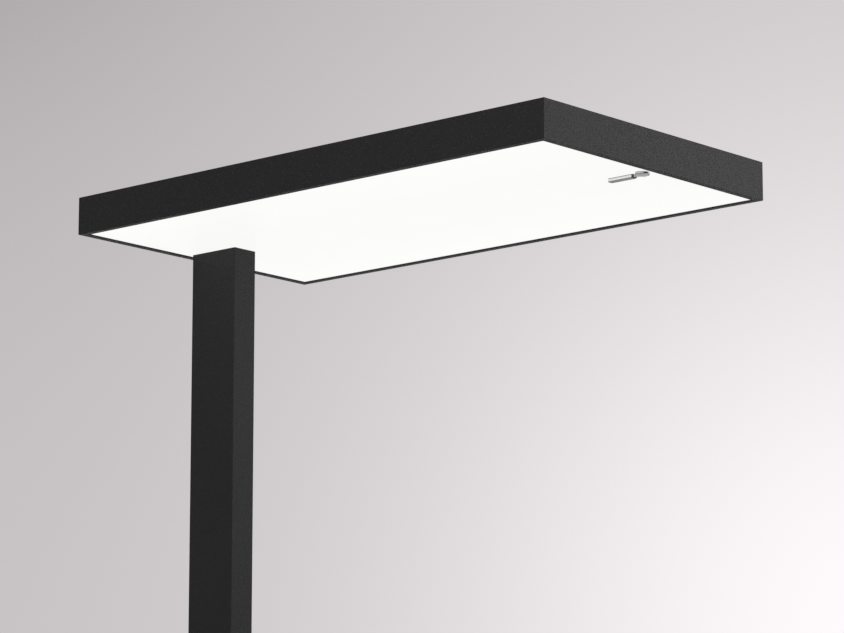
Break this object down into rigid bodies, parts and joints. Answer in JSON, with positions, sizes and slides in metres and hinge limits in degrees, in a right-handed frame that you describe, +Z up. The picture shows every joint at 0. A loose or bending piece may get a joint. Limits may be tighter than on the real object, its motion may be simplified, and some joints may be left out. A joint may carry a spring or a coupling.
{
  "type": "office floor lamp",
  "caption": "Free-standing lamp: flat rectangular head with a lit underside, cantilevered on a slim rectangular post over a flat base, with a small dimmer lever under its free end.",
  "frame": {"origin": "on the floor, under the post's axis", "axes": "+Z up along the post, +X towards the head's free end, and Y across the head"},
  "size_m": [0.6183, 0.328, 1.95],
  "materials": {
    "black_powder_coat": "fine textured matt black powder coat",
    "light_panel": "opal acrylic, lit evenly from behind",
    "clear_acrylic": "clear polished acrylic",
    "white_film": "matt white film",
    "grey_foam": "closed cell foam",
    "bare_aluminium": "mill finish",
    "plated_steel": "zinc plated",
    "black_steel": "black oxide steel",
    "polished_metal": "polished and bright",
    "bush_brass": "turned",
    "black_plastic": "fine matt moulding",
    "white_plastic": "matt moulding",
    "black_rubber": "matt",
    "frosted_window": "frosted acrylic, lit from below",
    "circuit_board": "white solder mask",
    "led_phosphor": "yellow phosphor in a white package",
    "cable_sheath": "smooth sheath",
    "core_insulation": "smooth insulation"
  },
  "bodies": {
    "lamp": {"base_plate": "black_powder_coat", "post_tube": "black_powder_coat", "frame_side_right": "black_powder_coat", "frame_side_left": "black_powder_coat", "frame_end_post": "black_powder_coat", "frame_end_free": "black_powder_coat", "top_cover": "black_powder_coat", "diffuser": "light_panel", "light_guide": "clear_acrylic", "reflector_sheet": "white_film", "foam_spacer": "grey_foam", "back_tray": "bare_aluminium", "post_foot_block": "bare_aluminium", "post_head_block": "bare_aluminium", "corner_keys": "bare_aluminium", "uplight_rail_left": "bare_aluminium", "uplight_rail_right": "bare_aluminium", "head_mount_plate": "plated_steel", "foot_screws": "plated_steel", "post_screws": "plated_steel", "plate_screws": "plated_steel", "tray_screws": "plated_steel", "driver_screws": "plated_steel", "dimmer_screws": "plated_steel", "corner_screws": "plated_steel", "block_screws": "black_steel", "cover_screws": "black_steel", "lever_ferrule": "bush_brass", "gland_body": "black_plastic", "gland_locknut": "black_plastic", "gland_cap": "black_plastic", "dimmer_housing": "black_plastic", "dimmer_lid": "black_plastic", "lead_clips": "black_plastic", "inlet_terminal": "white_plastic", "mains_terminal": "white_plastic", "driver_case": "white_plastic", "driver_lid": "white_plastic", "base_pad": "black_rubber", "gland_seal": "black_rubber", "lead_grommet": "black_rubber", "uplight_window_left": "frosted_window", "uplight_window_right": "frosted_window", "downlight_strip_left": "circuit_board", "downlight_strip_right": "circuit_board", "uplight_board_left": "circuit_board", "uplight_board_right": "circuit_board", "driver_board": "circuit_board", "dimmer_board": "circuit_board", "downlight_leds": "led_phosphor", "uplight_leds": "led_phosphor", "post_lead": "cable_sheath", "control_lead": "cable_sheath", "mains_wires": "core_insulation", "led_leads": "core_insulation"},
    "lever": {"lever_spindle": "polished_metal", "lever_bar": "polished_metal", "lever_collar": "black_plastic", "dimmer_rotor": "black_plastic", "spindle_clip": "plated_steel"}
  },
  "joints": [
    {"name": "dimmer_lever_turn", "type": "hinge", "parent": "lamp", "child": "lever", "pos_m": [0.5403, 0, 1.912], "axis": [0, 0, 1], "range_deg": [-60, 60]}
  ]
}
